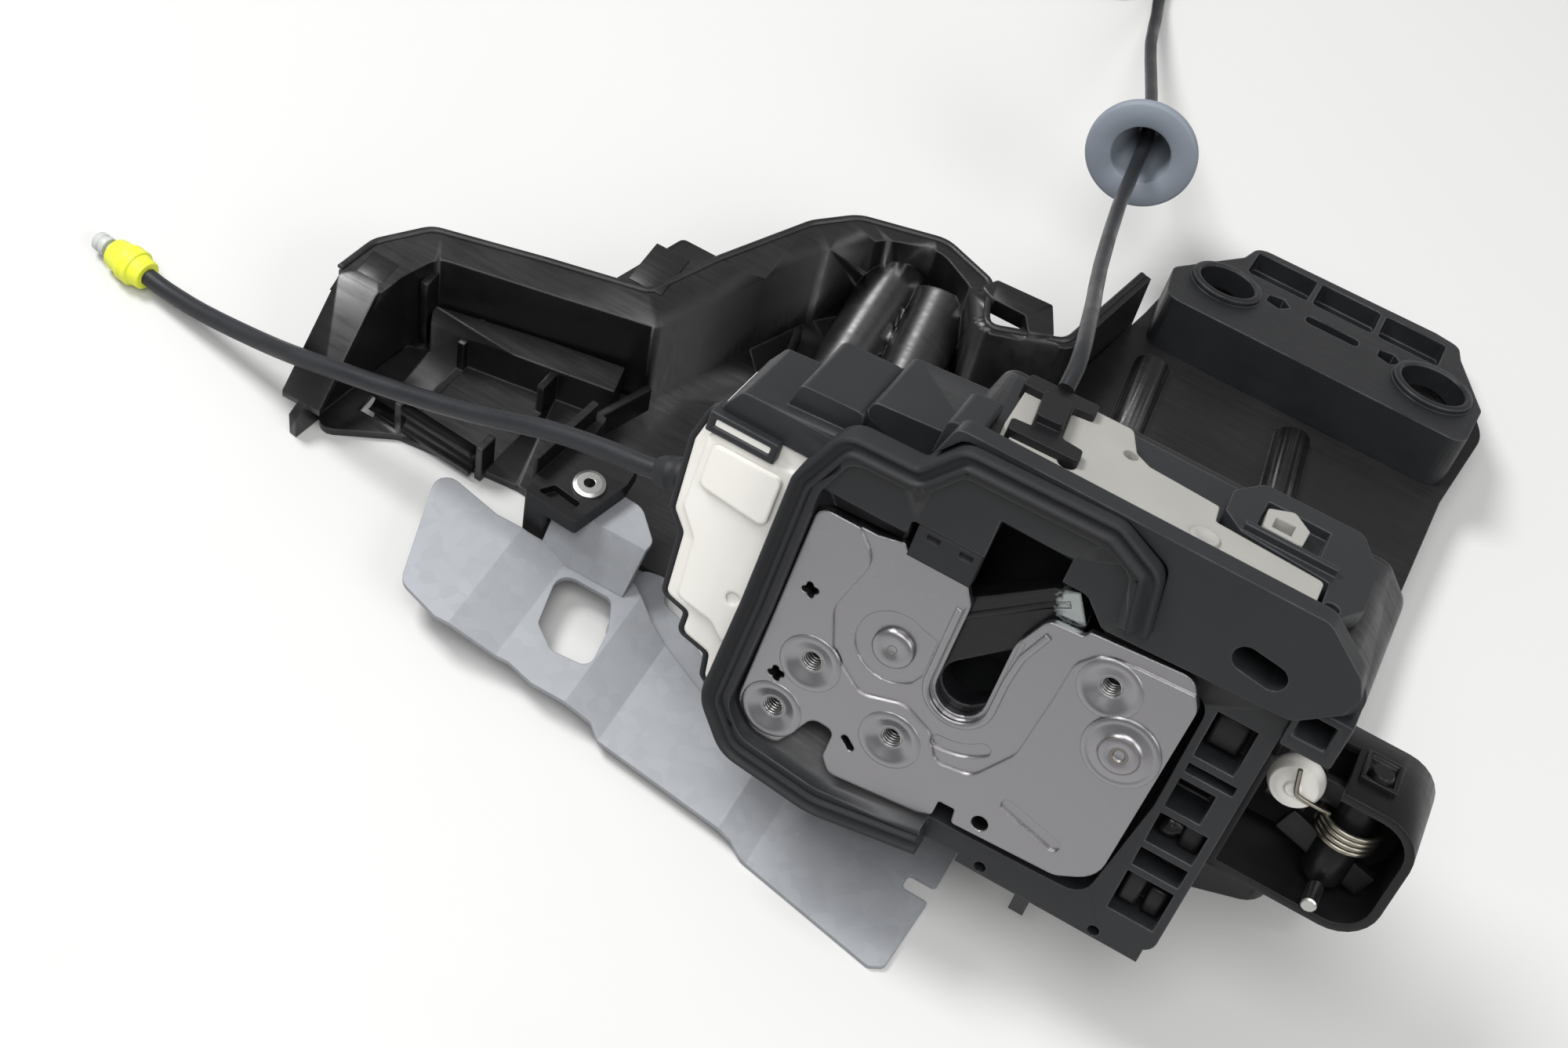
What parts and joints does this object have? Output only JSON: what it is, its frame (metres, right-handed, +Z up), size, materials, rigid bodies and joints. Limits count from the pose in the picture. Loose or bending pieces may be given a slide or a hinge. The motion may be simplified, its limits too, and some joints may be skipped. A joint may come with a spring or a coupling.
{
  "type": "car door lock",
  "caption": "Side-door latch with steel face plate, claw catch, lock actuator, plastic shield, handle bracket, sheet bracket and two control cables.",
  "frame": {"origin": "underside of the sheet bracket's flat end, on the surface that the lock lies on, under the latch plate's middle", "axes": "+Z up from that surface; +X along the latch plate to the key lever's side; +Y away from the plate's face, towards the handle bracket"},
  "size_m": [0.3958, 0.4092, 0.1415],
  "materials": {
    "plate_steel": "satin pressed steel",
    "dark_steel": "dull steel",
    "catch_black": "greased black plastic coat",
    "spring_steel": "drawn wire",
    "housing_grey": "moulded dark grey",
    "shield_black": "satin moulded black",
    "bracket_grey": "moulded grey",
    "seal_rubber": "matt black rubber",
    "case_white": "white moulded plastic",
    "case_cream": "cream moulded plastic",
    "beige_plastic": "beige grey moulded plastic",
    "zinc_steel": "galvanised sheet steel",
    "rivet_steel": "zinc plated steel",
    "motor_can": "plated steel can",
    "brass": "turned brass",
    "nylon": "natural nylon",
    "knob_white": "white moulded plastic",
    "cable_black": "extruded black sheath",
    "cable_grey": "extruded grey sheath",
    "ferrule_yellow": "yellow-green moulded plastic",
    "tip_grey": "grey moulded plastic",
    "grommet_blue": "blue-grey moulded plastic"
  },
  "bodies": {
    "lock_body": {"latch_plate": "plate_steel", "back_plate": "dark_steel", "catch_pin": "dark_steel", "pawl_pin": "dark_steel", "catch_spring": "spring_steel", "pawl_spring": "spring_steel", "bump_stop": "seal_rubber", "latch_housing": "housing_grey", "rear_cover": "shield_black", "housing_screws": "dark_steel", "seal_lip": "seal_rubber", "actuator_case": "case_white", "actuator_cover": "case_cream", "motor": "motor_can", "gear_pin": "rivet_steel", "cable_plate": "beige_plastic", "cable_clip": "shield_black", "lock_frame": "housing_grey", "release_pin": "rivet_steel", "arm_housing": "shield_black", "key_spring": "spring_steel", "shield": "shield_black", "handle_bracket": "bracket_grey", "sheet_holder": "shield_black", "sheet_bracket": "zinc_steel", "sheet_liner": "zinc_steel", "sheet_rivet": "rivet_steel", "sill_cable": "cable_black", "sill_sleeve": "cable_black", "sill_ferrule": "ferrule_yellow", "sill_tip": "tip_grey", "handle_cable": "cable_grey", "grommet": "grommet_blue", "handle_coil": "cable_grey", "handle_end": "tip_grey"},
    "catch": {"catch": "catch_black"},
    "pawl": {"pawl": "dark_steel"},
    "release_lever": {"release_lever": "dark_steel"},
    "drive_pinion": {"drive_pinion": "brass"},
    "lock_gear": {"lock_gear": "nylon"},
    "lock_slider": {"lock_slider": "beige_plastic"},
    "key_lever": {"key_lever": "shield_black", "key_knob": "knob_white", "key_pin": "rivet_steel"}
  },
  "joints": [
    {"name": "release_turn", "type": "hinge", "parent": "lock_body", "child": "release_lever", "pos_m": [0.036, 0.05053, 0.07895], "axis": [0, -0.9397, 0.342], "range_deg": [0, 24], "stiffness_Nm_per_rad": 0.02, "springref_deg": -5.73},
    {"name": "pawl_turn", "type": "hinge", "parent": "lock_body", "child": "pawl", "pos_m": [0.036, 0.03079, 0.08614], "axis": [0, -0.9397, 0.342], "range_deg": [0, 24.5]},
    {"name": "catch_turn", "type": "hinge", "parent": "lock_body", "child": "catch", "pos_m": [-0.0195, 0.02901, 0.08125], "axis": [0, -0.9397, 0.342], "range_deg": [0, 42.5]},
    {"name": "lock_gear_turn", "type": "hinge", "parent": "lock_body", "child": "lock_gear", "pos_m": [-0.065, 0.03419, 0.08086], "axis": [0, -0.9397, 0.342], "range_deg": [0, 75]},
    {"name": "pinion_spin", "type": "hinge", "parent": "lock_body", "child": "drive_pinion", "pos_m": [-0.065, 0.03, 0.06934], "axis": [0, -0.9397, 0.342], "range_deg": [-216.67, 0]},
    {"name": "slider_travel", "type": "slide", "parent": "lock_body", "child": "lock_slider", "axis": [1, 0, 0], "range_m": [0, 0.0036]},
    {"name": "key_turn", "type": "hinge", "parent": "lock_body", "child": "key_lever", "pos_m": [0.089, 0.04495, 0.06949], "axis": [0, 0.342, 0.9397], "range_deg": [-20, 20], "stiffness_Nm_per_rad": 0.05}
  ],
  "couplings": [
    {"joint": "pawl_turn", "follows": "release_turn", "ratio": 1},
    {"joint": "catch_turn", "follows": "release_turn", "ratio": 1.75},
    {"joint": "pinion_spin", "follows": "lock_gear_turn", "ratio": -2.8889}
  ]
}
